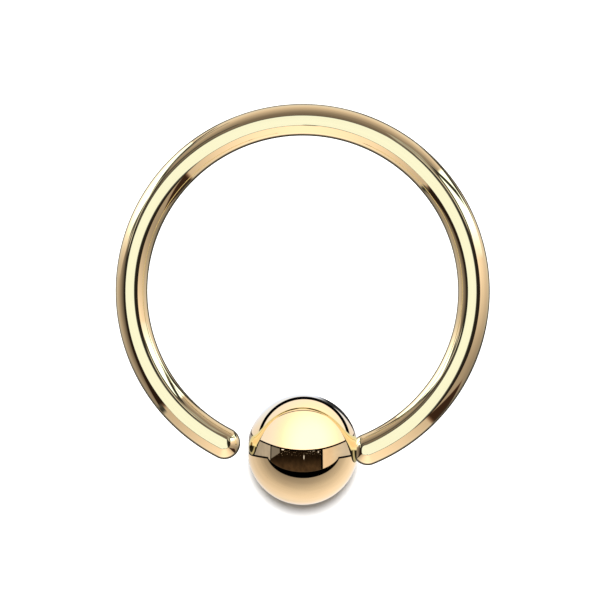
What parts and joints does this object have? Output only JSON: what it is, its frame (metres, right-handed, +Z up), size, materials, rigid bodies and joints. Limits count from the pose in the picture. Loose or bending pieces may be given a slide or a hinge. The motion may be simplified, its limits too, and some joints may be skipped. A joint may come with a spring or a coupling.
{
  "type": "captive bead ring",
  "caption": "Round body-piercing ring of polished gold-coloured wire, held open a hair's width beside its ball-shaped bead.",
  "frame": {"origin": "bottom centre of the bounding box, on the surface that the ring lies on", "axes": "+Z up from that surface, +Y from the bead to the far side of the ring, +X from the open end to the fixed end; the ring leans 6.9 degrees from flat, bead side up"},
  "size_m": [0.014, 0.015, 0.0041],
  "materials": {
    "gold_finish": "mirror-polished pale yellow gold plating over surgical steel"
  },
  "bodies": {
    "root": {"hoop": "gold_finish", "bead": "gold_finish"}
  },
  "joints": []
}
